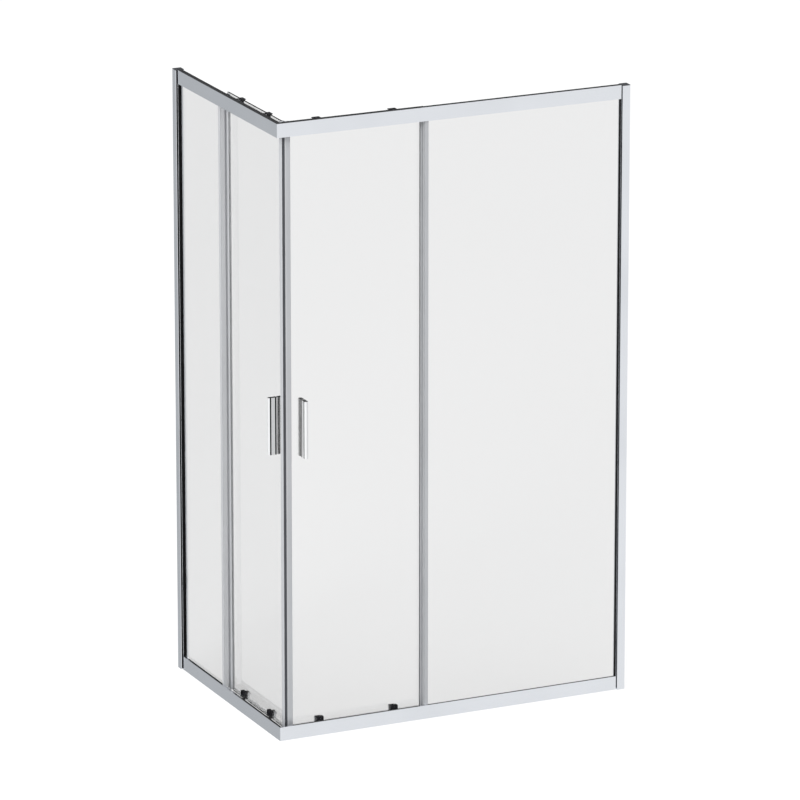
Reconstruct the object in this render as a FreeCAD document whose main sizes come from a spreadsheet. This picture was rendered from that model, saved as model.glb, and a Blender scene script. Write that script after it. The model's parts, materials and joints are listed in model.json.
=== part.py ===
import FreeCAD, Part
import math
import os
import re
import Sketcher

# Corner-entry shower enclosure: two glazed sides that meet at an entry corner, each with a fixed pane
# at its wall and a door that slides behind that pane. Sizes are in millimetres.
#
# Each side is measured from the entry corner: s runs along the side towards its wall, d runs inwards
# from the outer face of the frame, z runs up. On the long side s is +X and d is +Y, and on the short
# side s is +Y and d is +X. The origin is on the floor, in the middle of the outer rectangle.

sizes = {
    # whole enclosure
    "long_side": 1185,
    "short_side": 787,
    "overall_height": 1950,
    "fit_gap": 0.3,
    "seat_gap": 0.1,
    "running_gap": 0.05,
    "cut_overrun": 2,
    "glass_thick": 6,
    # rails
    "rail_height": 43.5,
    "rail_depth": 16.5,
    "rail_wall": 1.8,
    "channel_height": 18,
    "track_reach": 13,
    "track_level": 14,
    "track_thick": 2,
    "bead_set": 6.5,
    "bead_base": 3.2,
    "bead_top": 1.4,
    "bead_height": 3,
    "drip_drop": 2,
    "sill_lip": 7.7,
    "sill_lip_turn": 2.7,
    "sill_slot_wall": 26,
    "sill_track_level": 16,
    "sill_track_width": 14.7,
    "sill_upstand": 3,
    # wall side
    "wall_profile_width": 25.5,
    "wall_profile_depth": 28,
    "wall_proud": 5,
    "wall_profile_wall": 1.8,
    "wall_nose_round": 1.6,
    "wall_hole_radius": 3,
    "wall_hole_end": 120,
    "wall_seal_set": 6,
    "wall_seal_width": 4,
    "cap_thick": 2,
    "cap_plug_drop": 6,
    "stile_to_wall": 28,
    "stile_set": 0.6,
    "stile_back": 6,
    "stile_wall": 1.8,
    "stile_slot_bed": 18,
    "stile_screw_end": 105,
    "gasket_lip": 2.2,
    "gasket_thick": 1,
    "gasket_face": 5.4,
    "gasket_wedge": 3.5,
    # fixed pane
    "pane_set": 8,
    "pane_edge_cover": 12.5,
    "pane_head_bite": 15,
    "pane_sill_level": 10,
    "edge_face": 11,
    "edge_skin": 1.6,
    "edge_web": 2,
    "edge_fin_tip": 23,
    "edge_drop": 6.5,
    "edge_round": 1.5,
    "edge_tip_round": 1.2,
    "edge_groove_width": 3.4,
    "edge_groove_deep": 0.9,
    # doors
    "door_glass_set": 36,
    "door_bottom": 24,
    "door_head_gap": 6,
    "long_pane": 674.5,
    "short_pane": 324,
    "long_travel": 385,
    "short_travel": 295,
    "profile_set": 31.5,
    "profile_depth": 15,
    "profile_round": 2,
    "lead_end": 57.5,
    "lead_face_start": 43.3,
    "lead_nose": 39.8,
    "lead_nose_bevel": 1.7,
    "lead_nose_flat": 0.8,
    "lead_web_start": 47.5,
    "lead_web_thick": 2,
    "lead_heel": 3,
    "magnet_set": 33.6,
    "magnet_end": 44,
    "magnet_gap": 0.4,
    "trail_width": 15,
    "trail_web_thick": 4,
    "trail_head_drop": 6,
    "trail_fin_tip": 24.5,
    "trail_fin_level": 27,
    "trail_fin_thick": 1.8,
    "drip_seal_skin": 1,
    "drip_seal_height": 11.5,
    "drip_seal_sole": 2.4,
    # handles
    "handle_at": 97,
    "handle_level": 980.5,
    "handle_height": 181,
    "handle_thick": 12.5,
    "handle_tip": 7.5,
    "handle_nose": 4,
    "handle_inner_reach": 62.5,
    "inlay_width": 4.8,
    "inlay_deep": 1.2,
    "inlay_tip_set": 11.8,
    "inlay_base_set": 28.9,
    "inlay_inner_set": 43.7,
    "handle_screw_spread": 120,
    "handle_screw_radius": 2.5,
    "handle_screw_bite": 12,
    "handle_head_radius": 4.2,
    "handle_head_thick": 3,
    "handle_head_seat": 5,
    "handle_glass_hole": 4,
    # top carriages and wheels
    "roller_lead": 146,
    "long_roller_inset": 108,
    "short_roller_inset": 111.5,
    "carriage_width": 27,
    "carriage_leg_width": 12,
    "carriage_head_gap": 2.6,
    "carriage_drop": 47,
    "carriage_bevel": 1.5,
    "carriage_track_gap": 3.1,
    "carriage_arm_width": 10,
    "carriage_cap_thick": 2,
    "carriage_arm_gap": 0.8,
    "carriage_inner_leg": 4,
    "wheel_gap": 0.3,
    "wheel_width": 8,
    "wheel_tread_radius": 9.5,
    "wheel_flange_radius": 11.5,
    "wheel_groove_slack": 0.45,
    "axle_radius": 3,
    "axle_head_radius": 4.6,
    "axle_head_thick": 1.2,
    "axle_collar_radius": 5,
    "axle_side_play": 0.4,
    "clamp_bolt_radius": 2.5,
    "clamp_bolt_drop": 37.5,
    "clamp_bolt_stop": 1,
    "clamp_head_radius": 6,
    "clamp_head_thick": 4,
    "clamp_glass_hole": 5,
    "stop_length": 12,
    "stop_height": 17,
    # bottom rollers
    "housing_width": 24.8,
    "housing_outer": 25.4,
    "housing_bottom": 34,
    "housing_top": 47.3,
    "housing_skirt_level": 28,
    "housing_skirt_deep": 9,
    "housing_skirt_gap": 13,
    "housing_round": 2.5,
    "housing_roof": 3.8,
    "housing_bolt_spread": 13,
    "housing_bolt_radius": 2,
    "housing_bolt_level": 41,
    "housing_bolt_bite": 9,
    "housing_head_radius": 3.2,
    "housing_head_thick": 2.5,
    "housing_glass_hole": 3,
    "clamp_plate_width": 20,
    "clamp_plate_thick": 6.5,
    "clamp_pad_thick": 2.4,
    "plunger_set": 30.4,
    "plunger_bore": 3.4,
    "plunger_shoulder_radius": 3.3,
    "plunger_shoulder_top": 36,
    "plunger_stem_radius": 1.6,
    "plunger_cap_thick": 3.2,
    "carrier_width": 10,
    "carrier_outer": 27,
    "carrier_inner": 33.6,
    "carrier_bottom": 20.6,
    "carrier_top": 27,
    "guide_wheel_radius": 8,
    "guide_wheel_width": 6,
    "guide_wheel_bevel": 0.8,
    "guide_axle_radius": 2.5,
    "guide_head_radius": 3.6,
    "guide_head_thick": 1.2,
    "guide_wheel_set": 19,
    "guide_side_play": 0.4,
    "spring_radius": 2.45,
    "spring_wire": 0.45,
    "spring_pitch": 2.4,
    # frame joints
    "connector_leg": 60,
    "connector_screw_at": 45,
    "connector_screw_bite": 8,
    "frame_screw_radius": 1.9,
    "frame_head_radius": 3.4,
    "frame_head_thick": 1.7,
    "stile_screw_bite": 8,
    "socket_radius": 1.7,
    "socket_deep": 1.1,
    "hexagon_share": 0.866,
}

doc = FreeCAD.newDocument("shower_enclosure")
sheet = doc.addObject("Spreadsheet::Sheet", "sizes")
for row, (alias, number) in enumerate(sizes.items(), 1):
    sheet.set(f"A{row}", alias)
    sheet.set(f"B{row}", str(number))
    sheet.setAlias(f"B{row}", alias)
doc.recompute()

sides = {
    "long": {"length": "(long_side - wall_proud)", "door_end": "(long_side - wall_proud - long_pane)",
             "travel": "long_travel",
             "rollers": ("roller_lead", "(long_side - wall_proud - long_pane - long_roller_inset)")},
    "short": {"length": "(short_side - wall_proud)", "door_end": "(short_side - wall_proud - short_pane)",
              "travel": "short_travel",
              "rollers": ("roller_lead", "(short_side - wall_proud - short_pane - short_roller_inset)")},
}
nodes = []

# Places that several pieces share
rail_low = "(overall_height - rail_height)"
bead_top_level = f"({rail_low} + track_level + bead_height)"
track_end = "(rail_depth + track_reach)"
bead_at = "(rail_depth + bead_set)"
sill_depth = "(rail_depth + sill_track_width + rail_wall)"
wheel_level = f"({bead_top_level} + wheel_gap + wheel_tread_radius)"
guide_level = "(sill_track_level + wheel_gap + guide_wheel_radius)"
door_inner = "(door_glass_set + glass_thick)"
door_top = "(overall_height - door_head_gap)"
profile_back = "(profile_set + profile_depth)"
profile_slot_outer = "(door_glass_set - seat_gap)"
profile_slot_inner = f"({door_inner} + seat_gap)"
carriage_outer = f"({track_end} + carriage_track_gap)"
carriage_leg_back = "(door_glass_set - seat_gap * 2)"
carriage_inner = f"({door_inner} + seat_gap * 2)"
carriage_back = f"({carriage_inner} + carriage_inner_leg)"
carriage_top = "(overall_height - carriage_head_gap)"
carriage_bottom = "(overall_height - carriage_drop)"
clamp_bolt_level = "(overall_height - clamp_bolt_drop)"
pane_back = "(pane_set + glass_thick)"
stile_screw_line = "(stile_back + stile_slot_bed) / 2"
stile_screw_levels = ("stile_screw_end", "overall_height - stile_screw_end")
clamp_pad_set = f"({door_inner} + seat_gap)"
clamp_plate_set = f"({clamp_pad_set} + clamp_pad_thick + seat_gap)"
handle_outer_base = "(door_glass_set - seat_gap)"
handle_inner_base = f"({door_inner} + seat_gap)"
handle_nose_radius = "((handle_thick * handle_thick / 4 + handle_nose * handle_nose) / (handle_nose * 2))"
handle_levels = ("handle_level - handle_screw_spread / 2", "handle_level + handle_screw_spread / 2")


def cells(text):
    """Turn an expression in plain size names into one that reads the sheet."""
    return re.sub(r"[a-z][a-z_]*", lambda word: "sizes." + word.group(0), text)


def number(text):
    return float(sheet.evalExpression(cells(text)))


def bind(obj, path, text):
    obj.setExpression(path, cells(text))


def new_body(label, side="long", s="0", d="0", z="0"):
    """A body whose own origin stands at s, d, z of a side."""
    x, y = (s, d) if side == "long" else (d, s)
    body = doc.addObject("PartDesign::Body", label)
    body.Label = label
    bind(body, ".Placement.Base.x", f"{x} + wall_proud - long_side / 2")
    bind(body, ".Placement.Base.y", f"{y} + wall_proud - short_side / 2")
    bind(body, ".Placement.Base.z", z)
    return body


def facing(side, kind):
    """The plane of a sketch, and whether its normal runs against the way that the piece is built.

    section is drawn in d, z and runs along s; plan in s, d and runs up; front in s, z and runs inwards.
    """
    if kind == "plan":
        return "XY_Plane", False
    across = (kind == "section") == (side == "long")
    return ("YZ_Plane", False) if across else ("XZ_Plane", True)


def add_circle(sketch, u, v, radius):
    centre = FreeCAD.Vector(number(u), number(v), 0)
    index = sketch.addGeometry(Part.Circle(centre, FreeCAD.Vector(0, 0, 1), number(radius)))
    fixed = Sketcher.Constraint("Radius", index, number(radius))
    bind(sketch, f"Constraints[{sketch.addConstraint(fixed)}]", radius)
    pin_point(sketch, index, 3, u, v)


def pin_point(sketch, index, spot, u, v):
    for kind, text in (("DistanceX", u), ("DistanceY", v)):
        fixed = Sketcher.Constraint(kind, -1, 1, index, spot, number(text))
        bind(sketch, f"Constraints[{sketch.addConstraint(fixed)}]", text)


def add_arc(sketch, start, end, radius, left):
    """An arc of under a half circle from start to end that turns left or right."""
    first = FreeCAD.Vector(number(start[0]), number(start[1]), 0)
    last = FreeCAD.Vector(number(end[0]), number(end[1]), 0)
    size = number(radius)
    chord = last - first
    side_step = FreeCAD.Vector(-chord.y, chord.x, 0).normalize()
    rise = math.sqrt(max(size * size - chord.Length ** 2 / 4, 0))
    centre = (first + last) / 2 + side_step * (rise if left else -rise)
    ends = (first, last) if left else (last, first)
    angles = [math.atan2(point.y - centre.y, point.x - centre.x) for point in ends]
    circle = Part.Circle(centre, FreeCAD.Vector(0, 0, 1), size)
    index = sketch.addGeometry(Part.ArcOfCircle(circle, angles[0], angles[1]))
    fixed = Sketcher.Constraint("Radius", index, size)
    bind(sketch, f"Constraints[{sketch.addConstraint(fixed)}]", radius)
    return index, (1, 2) if left else (2, 1)


def add_outline(sketch, points):
    """A closed outline; a point with a third and fourth entry starts an arc of that radius and turn."""
    spots = []
    for place, point in enumerate(points):
        after = points[(place + 1) % len(points)]
        if len(point) > 2:
            spots.append(add_arc(sketch, point, after, point[2], point[3] == "left"))
        else:
            line = Part.LineSegment(FreeCAD.Vector(number(point[0]), number(point[1]), 0),
                                    FreeCAD.Vector(number(after[0]), number(after[1]), 0))
            spots.append((sketch.addGeometry(line), (1, 2)))
    for place, (index, (head, tail)) in enumerate(spots):
        after, (after_head, _) = spots[(place + 1) % len(spots)]
        sketch.addConstraint(Sketcher.Constraint("Coincident", index, tail, after, after_head))
        pin_point(sketch, index, head, points[place][0], points[place][1])


def draw(body, side, kind, loops, start="0"):
    """A sketch of closed loops; a loop of three texts is a circle, any other an outline."""
    role, against = facing(side, kind)
    sketch = body.newObject("Sketcher::SketchObject", f"{body.Name}_{kind}")
    plane = next(item for item in body.Origin.OriginFeatures if item.Role == role)
    sketch.AttachmentSupport = [(plane, "")]
    sketch.MapMode = "FlatFace"
    bind(sketch, ".AttachmentOffset.Base.z", f"-({start})" if against else start)
    swapped = kind == "plan" and side == "short"
    for loop in loops:
        if isinstance(loop[0], str):
            u, v, radius = loop
            add_circle(sketch, *((v, u) if swapped else (u, v)), radius)
        elif swapped:
            turns = {"left": "right", "right": "left"}
            add_outline(sketch, [(p[1], p[0], *p[2:3], *(turns[t] for t in p[3:4])) for p in loop])
        else:
            add_outline(sketch, loop)
    return sketch


def pad(body, side, kind, loops, length, start="0"):
    feature = body.newObject("PartDesign::Pad", f"{body.Name}_pad")
    feature.Profile = draw(body, side, kind, loops, start)
    bind(feature, "Length", length)
    feature.Reversed = facing(side, kind)[1]
    return body


def cut(body, side, kind, loops, length=None, start="0"):
    """A pocket that runs from start for a length, or right through where no length is given."""
    doc.recompute()
    feature = body.newObject("PartDesign::Pocket", f"{body.Name}_cut")
    feature.Profile = draw(body, side, kind, loops, start)
    if length is None:
        feature.Type = "ThroughAll"
        feature.SideType = "Symmetric"
    else:
        bind(feature, "Length", length)
        feature.Reversed = not facing(side, kind)[1]
    return body


def turn(body, side, points, upright=False):
    """A body of revolution: points are d, radius about a level axis, or radius, z about an upright one."""
    feature = body.newObject("PartDesign::Revolution", f"{body.Name}_turn")
    sketch = draw(body, side, "section", [points])
    feature.Profile = sketch
    feature.ReferenceAxis = (sketch, ["V_Axis" if upright else "H_Axis"])
    return body


def socket(body, side, crown):
    """A hexagon socket in the head of a screw or bolt that faces inwards."""
    far, half, high = "socket_radius", "socket_radius / 2", "socket_radius * hexagon_share"
    hexagon = [(far, "0"), (half, high), (f"-{half}", high), (f"-{far}", "0"), (f"-{half}", f"-{high}"),
               (half, f"-{high}")]
    cut(body, side, "front", [hexagon], "socket_deep + cut_overrun", f"{crown} - socket_deep")
    return body


def box(u0, v0, u1, v1):
    return [(u0, v0), (u1, v0), (u1, v1), (u0, v1)]


def keep(body):
    nodes.append(body)
    return body


def keep_group(label, bodies):
    """Separate solids that share one node."""
    group = doc.addObject("Part::Compound", label)
    group.Label = label
    group.Links = bodies
    nodes.append(group)


# Fixed frame


def wall_profile(side):
    """The channel that is screwed to the wall; its outer flange stands proud of the rails."""
    wall = sides[side]["length"]
    body = new_body(f"{side}_wall_profile", side, s=f"{wall} - wall_profile_width", d="-wall_proud")
    inner = "wall_profile_depth - wall_profile_wall"
    bed = "wall_profile_width - wall_profile_wall"
    channel = [("wall_nose_round", "0"), ("wall_profile_width", "0"),
               ("wall_profile_width", "wall_profile_depth"), ("0", "wall_profile_depth"), ("0", inner),
               (bed, inner), (bed, "wall_profile_wall"), ("0", "wall_profile_wall"),
               ("0", "wall_nose_round", "wall_nose_round", "left")]
    pad(body, side, "plan", [channel], "overall_height - cap_thick")
    middle = "wall_profile_depth / 2"
    levels = ("wall_hole_end", "overall_height / 2", "overall_height - wall_hole_end")
    cut(body, side, "section", [(middle, level, "wall_hole_radius") for level in levels])
    screw = "frame_screw_radius + running_gap"
    line = f"wall_profile_width - {stile_screw_line}"
    cut(body, side, "front", [(line, level, screw) for level in stile_screw_levels],
        "wall_profile_wall + cut_overrun * 2", f"{inner} - cut_overrun")
    return keep(body)


def wall_cap(side):
    wall = sides[side]["length"]
    body = new_body(f"{side}_wall_cap", side, s=f"{wall} - wall_profile_width", d="-wall_proud",
                    z="overall_height - cap_thick")
    lid = [("wall_nose_round", "0"), ("wall_profile_width", "0"),
           ("wall_profile_width", "wall_profile_depth"), ("0", "wall_profile_depth"),
           ("0", "wall_nose_round", "wall_nose_round", "left")]
    pad(body, side, "plan", [lid], "cap_thick")
    bed = "wall_profile_width - wall_profile_wall - fit_gap"
    edge = "wall_profile_wall + fit_gap"
    plug = box("wall_profile_width - stile_back + fit_gap", edge, bed, f"wall_profile_depth - ({edge})")
    pad(body, side, "plan", [plug], "cap_plug_drop + cap_thick / 2", "-cap_plug_drop")
    return body


def stile(side):
    """The adjusting stile stands in the wall profile and holds the edge of the fixed pane."""
    wall = sides[side]["length"]
    body = new_body(f"{side}_stile", side, s=f"{wall} - stile_to_wall")
    outer = "stile_set"
    inner = "wall_profile_depth - wall_proud - wall_profile_wall - fit_gap"
    slot_outer = "pane_set - gasket_face - seat_gap"
    slot_inner = f"{pane_back} + gasket_wedge + seat_gap"
    bed = "stile_to_wall - stile_slot_bed"
    back = "stile_to_wall - stile_back"
    outline = [("0", outer), (back, outer), (back, inner), ("0", inner), ("0", slot_inner),
               (bed, slot_inner), (bed, slot_outer), ("0", slot_outer)]
    rear = box(f"{bed} + stile_wall", f"{outer} + stile_wall", f"{back} - stile_wall",
               f"{inner} - stile_wall")
    pad(body, side, "plan", [outline, rear], "overall_height - cap_thick")
    screw = "frame_screw_radius + running_gap"
    line = f"stile_to_wall - {stile_screw_line}"
    cut(body, side, "front", [(line, level, screw) for level in stile_screw_levels],
        "stile_wall + cut_overrun * 2", f"{inner} - stile_wall - cut_overrun")
    return keep(body)


def wall_seal(side):
    """The black strip that closes the gap between the wall profile's outer flange and the stile."""
    wall = sides[side]["length"]
    body = new_body(f"{side}_wall_seal", side)
    start = f"{wall} - wall_profile_width + wall_seal_set"
    outline = box(start, "wall_profile_wall - wall_proud + seat_gap", f"{start} + wall_seal_width",
                  "stile_set - seat_gap")
    return pad(body, side, "plan", [outline], "overall_height - cap_thick")


def mitre(body, side, depth):
    """Cut the end of a rail on the diagonal of the entry corner."""
    reach = f"{depth} + cut_overrun"
    cut(body, side, "plan", [[("0", "0"), (reach, reach), ("0", reach)]])


def top_rail(side):
    """Head rail: a box, a glazing channel below it, and a roller track with a bead on its inner side."""
    wall = sides[side]["length"]
    body = new_body(f"{side}_top_rail", side, z=rail_low)
    inner = "rail_depth - rail_wall"
    under = "track_level - track_thick"
    lip = f"{track_end} - rail_wall"
    bead_foot = f"{bead_at} + bead_base / 2"
    outline = [("0", "0"), ("0", "rail_height"), ("rail_depth", "rail_height"),
               ("rail_depth", "track_level"), (f"{bead_at} - bead_base / 2", "track_level"),
               (f"{bead_at} - bead_top / 2", "track_level + bead_height"),
               (f"{bead_at} + bead_top / 2", "track_level + bead_height"), (bead_foot, "track_level"),
               (track_end, "track_level"), (track_end, f"{under} - drip_drop"),
               (lip, f"{under} - drip_drop"), (lip, under), ("rail_depth", under), ("rail_depth", "0"),
               (inner, "0"), (inner, "channel_height"), ("rail_wall", "channel_height"),
               ("rail_wall", "0")]
    chamber = box("rail_wall", "channel_height + rail_wall", inner, "rail_height - rail_wall")
    pad(body, side, "section", [outline, chamber], f"{wall} - stile_to_wall")
    mitre(body, side, track_end)
    hole = ("connector_screw_at", "rail_depth / 2", "frame_screw_radius + running_gap")
    cut(body, side, "plan", [hole], "rail_wall + cut_overrun * 2", "channel_height - cut_overrun")
    return keep(body)


def bottom_rail(side):
    """Sill rail: outer wall with a lip, glazing slot, and a guide track with an inner upstand."""
    wall = sides[side]["length"]
    body = new_body(f"{side}_bottom_rail", side)
    slot = "rail_depth - rail_wall"
    track_back = "rail_depth + sill_track_width"
    lip_low = "rail_height - rail_wall - sill_lip_turn"
    turned = "sill_lip - rail_wall"
    outline = [("0", "0"), ("0", "rail_height"), ("sill_lip", "rail_height"), ("sill_lip", lip_low),
               (turned, lip_low), (turned, "rail_height - rail_wall"),
               ("rail_wall", "rail_height - rail_wall"), ("rail_wall", "rail_wall"), (slot, "rail_wall"),
               (slot, "sill_slot_wall"), ("rail_depth", "sill_slot_wall"),
               ("rail_depth", "sill_track_level"), (track_back, "sill_track_level"),
               (track_back, "sill_track_level + sill_upstand"),
               (sill_depth, "sill_track_level + sill_upstand"), (sill_depth, "0")]
    chamber = box("rail_depth", "rail_wall", track_back, "sill_track_level - rail_wall")
    pad(body, side, "section", [outline, chamber], f"{wall} - stile_to_wall")
    mitre(body, side, sill_depth)
    hole = ("connector_screw_at", "rail_depth + sill_track_width / 2", "frame_screw_radius + running_gap")
    cut(body, side, "plan", [hole], "rail_wall + cut_overrun * 2",
        "sill_track_level - rail_wall - cut_overrun")
    return keep(body)


def connector(label, outer, inner, low, high, screw_line, drill_from):
    """An L-shaped insert that joins two rails at the entry corner, inside their chambers."""
    body = new_body(label, "long")
    near = f"({outer} + fit_gap)"
    far = f"({inner} - fit_gap)"
    leg = "connector_leg"
    outline = [(near, near), (leg, near), (leg, far), (far, far), (far, leg), (near, leg)]
    pad(body, "long", "plan", [outline], f"{high} - ({low}) - fit_gap * 2", f"{low} + fit_gap")
    hole = "frame_screw_radius + running_gap"
    holes = [("connector_screw_at", screw_line, hole), (screw_line, "connector_screw_at", hole)]
    cut(body, "long", "plan", holes, "connector_screw_bite + cut_overrun", drill_from)
    return body


def frame_screw_up(label, side, d):
    """A screw through the floor of the head rail's chamber, with its head in the glazing channel."""
    body = new_body(label, side, s="connector_screw_at", d=d, z=f"{rail_low} + channel_height")
    points = [("0", "-frame_head_thick"), ("frame_head_radius", "-frame_head_thick"),
              ("frame_head_radius", "0"), ("frame_screw_radius", "0"),
              ("frame_screw_radius", "connector_screw_bite"), ("0", "connector_screw_bite")]
    return turn(body, side, points, upright=True)


def frame_screw_down(label, side, d):
    """A screw through the guide track of the sill rail, with its head on the track."""
    body = new_body(label, side, s="connector_screw_at", d=d, z="sill_track_level")
    points = [("0", "-connector_screw_bite"), ("frame_screw_radius", "-connector_screw_bite"),
              ("frame_screw_radius", "0"), ("frame_head_radius", "0"),
              ("frame_head_radius", "frame_head_thick"), ("0", "frame_head_thick")]
    return turn(body, side, points, upright=True)


def stile_screw(label, side, level):
    """A screw through the wall profile's inner flange into the stile."""
    wall = sides[side]["length"]
    body = new_body(label, side, s=f"{wall} - {stile_screw_line}", d="wall_profile_depth - wall_proud",
                    z=level)
    points = [("-stile_screw_bite", "0"), ("-stile_screw_bite", "frame_screw_radius"),
              ("0", "frame_screw_radius"), ("0", "frame_head_radius"),
              ("frame_head_thick", "frame_head_radius"), ("frame_head_thick", "0")]
    return socket(turn(body, side, points), side, "frame_head_thick")


def fixed_glass(side):
    wall = sides[side]["length"]
    start = f"({sides[side]['door_end']} - pane_edge_cover + edge_web + seat_gap)"
    end = f"({wall} - stile_slot_bed - gasket_thick - seat_gap * 2)"
    body = new_body(f"{side}_fixed_glass", side, d="pane_set")
    outline = box(start, "pane_sill_level", end, f"{rail_low} + pane_head_bite")
    return keep(pad(body, side, "front", [outline], "glass_thick"))


def fixed_gasket(side):
    """The black glazing gasket that wraps the pane's edge in the stile, thick on both faces."""
    wall = sides[side]["length"]
    front = f"{wall} - stile_to_wall"
    lip = f"{front} - gasket_lip"
    bed = f"{wall} - stile_slot_bed - seat_gap"
    outer = "pane_set - gasket_face"
    inner = f"{pane_back} + gasket_wedge"
    skin_out = "pane_set - seat_gap / 2"
    skin_in = f"{pane_back} + seat_gap / 2"
    web = f"{bed} - gasket_thick"
    body = new_body(f"{side}_gasket", side, z="rail_height + seat_gap")
    outline = [(lip, outer), (bed, outer), (bed, inner), (front, inner), (front, skin_in),
               (web, skin_in), (web, skin_out), (lip, skin_out)]
    return pad(body, side, "plan", [outline], f"{rail_low} - rail_height - seat_gap * 2")


def fixed_edge(side):
    """The profile on the free edge of the fixed pane, with a fin towards the door and a foot in the sill."""
    edge = f"({sides[side]['door_end']} - pane_edge_cover)"
    body = new_body(f"{side}_fixed_edge", side, s=edge, z="rail_height + seat_gap")
    slot_outer = "pane_set - seat_gap"
    slot_inner = f"{pane_back} + seat_gap"
    outer = f"{slot_outer} - edge_skin"
    inner = f"{slot_inner} + edge_skin"
    groove_low = "pane_set + (glass_thick - edge_groove_width) / 2"
    groove_high = "pane_set + (glass_thick + edge_groove_width) / 2"
    outline = [("edge_round", outer), ("edge_face - edge_tip_round", outer, "edge_tip_round", "left"),
               ("edge_face", f"{outer} + edge_tip_round"), ("edge_face", slot_outer),
               ("edge_web", slot_outer), ("edge_web", slot_inner), ("edge_face", slot_inner),
               ("edge_face", inner), ("edge_skin", inner), ("edge_skin", "edge_fin_tip"),
               ("0", "edge_fin_tip"), ("0", groove_high), ("edge_groove_deep", groove_high),
               ("edge_groove_deep", groove_low), ("0", groove_low),
               ("0", f"{outer} + edge_round", "edge_round", "left")]
    pad(body, side, "plan", [outline], f"{rail_low} - rail_height - seat_gap * 2")
    foot = [("0", "pane_set"), ("edge_web", "pane_set"), ("edge_web", inner), ("edge_skin", inner),
            ("edge_skin", "edge_fin_tip"), ("0", "edge_fin_tip")]
    return keep(pad(body, side, "plan", [foot], "edge_drop", "-edge_drop"))


def head_strip(side):
    """A clear glazing strip round the top edge of the fixed pane."""
    wall = sides[side]["length"]
    start = f"({sides[side]['door_end']} - pane_edge_cover)"
    body = new_body(f"{side}_head_strip", side, s=start, z=rail_low)
    outer = "rail_wall + seat_gap"
    inner = "rail_depth - rail_wall - seat_gap"
    outline = [(outer, "0"), (outer, "channel_height - seat_gap"), (inner, "channel_height - seat_gap"),
               (inner, "0"), (f"{pane_back} + seat_gap", "0"),
               (f"{pane_back} + seat_gap", "pane_head_bite + seat_gap"),
               ("pane_set - seat_gap", "pane_head_bite + seat_gap"), ("pane_set - seat_gap", "0")]
    return pad(body, side, "section", [outline], f"{wall} - stile_to_wall - {start}")


def sill_strip(side):
    """A clear glazing strip round the bottom edge of the fixed pane."""
    wall = sides[side]["length"]
    start = f"({sides[side]['door_end']} - pane_edge_cover)"
    body = new_body(f"{side}_sill_strip", side, s=start)
    outer = "rail_wall + seat_gap"
    inner = "rail_depth - rail_wall - seat_gap"
    floor = "rail_wall + seat_gap"
    bed = "pane_sill_level - seat_gap"
    lip_low = "rail_height - rail_wall - sill_lip_turn - seat_gap"
    outline = [(outer, floor), (inner, floor), (inner, "sill_slot_wall"),
               (f"{pane_back} + seat_gap", "sill_slot_wall"), (f"{pane_back} + seat_gap", bed),
               ("pane_set - seat_gap", bed), ("pane_set - seat_gap", lip_low), (outer, lip_low)]
    return pad(body, side, "section", [outline], f"{wall} - stile_to_wall - {start}")


def door_stop(side):
    """A rubber block on the roller track that stops the door when it is open."""
    start = f"{sides[side]['rollers'][1]} + wheel_flange_radius + {sides[side]['travel']} + fit_gap"
    body = new_body(f"{side}_stop", side, s=start, z=f"{bead_top_level} + seat_gap")
    outline = box("rail_depth + seat_gap", "0", f"{track_end} - seat_gap", "stop_height")
    return pad(body, side, "section", [outline], "stop_length")


# Sliding doors


def housing_bolts(side):
    return [f"{roller} {step} housing_bolt_spread / 2" for roller in sides[side]["rollers"] for step in "-+"]


def door_glass(side):
    end = f"{sides[side]['door_end']} - trail_web_thick - seat_gap * 2"
    body = new_body(f"{side}_door_glass", side, d="door_glass_set")
    pane = box("lead_web_start + lead_web_thick + seat_gap * 2", "door_bottom", end, door_top)
    holes = [("handle_at", level, "handle_glass_hole") for level in handle_levels]
    holes += [(roller, clamp_bolt_level, "clamp_glass_hole") for roller in sides[side]["rollers"]]
    holes += [(bolt, "housing_bolt_level", "housing_glass_hole") for bolt in housing_bolts(side)]
    return keep(pad(body, side, "front", [pane, *holes], "glass_thick"))


def lead_profile(side):
    """The profile on the door's leading edge, with a nose that carries the magnetic seal."""
    body = new_body(f"{side}_lead_profile", side, z="door_bottom")
    nose = "profile_set + lead_nose_bevel"
    slot_bed = "lead_web_start + lead_web_thick"
    outline = [("lead_end", "profile_set + profile_round"), ("lead_end", profile_slot_outer),
               (slot_bed, profile_slot_outer), (slot_bed, profile_slot_inner),
               ("lead_end", profile_slot_inner), ("lead_end", profile_back),
               ("lead_web_start", profile_back), ("lead_web_start", f"{profile_back} - lead_heel"),
               ("lead_nose", f"{nose} + lead_nose_flat"), ("lead_nose", nose),
               ("lead_face_start", "profile_set"),
               ("lead_end - profile_round", "profile_set", "profile_round", "left")]
    return keep(pad(body, side, "plan", [outline], f"{door_top} - door_bottom"))


def magnet_seal(side):
    """The dark magnetic strip that meets the other door on the diagonal of the corner."""
    body = new_body(f"{side}_magnet_seal", side, z="door_bottom")
    nose = "profile_set + lead_nose_bevel + lead_nose_flat"
    outline = [("lead_nose - seat_gap", "magnet_set"), ("magnet_set + magnet_gap", "magnet_set"),
               ("magnet_end + magnet_gap", "magnet_end"), ("lead_web_start - seat_gap", "magnet_end"),
               ("lead_web_start - seat_gap", f"{profile_back} - lead_heel + seat_gap"),
               ("lead_nose - seat_gap", f"{nose} + seat_gap")]
    return keep(pad(body, side, "plan", [outline], f"{door_top} - door_bottom"))


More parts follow.
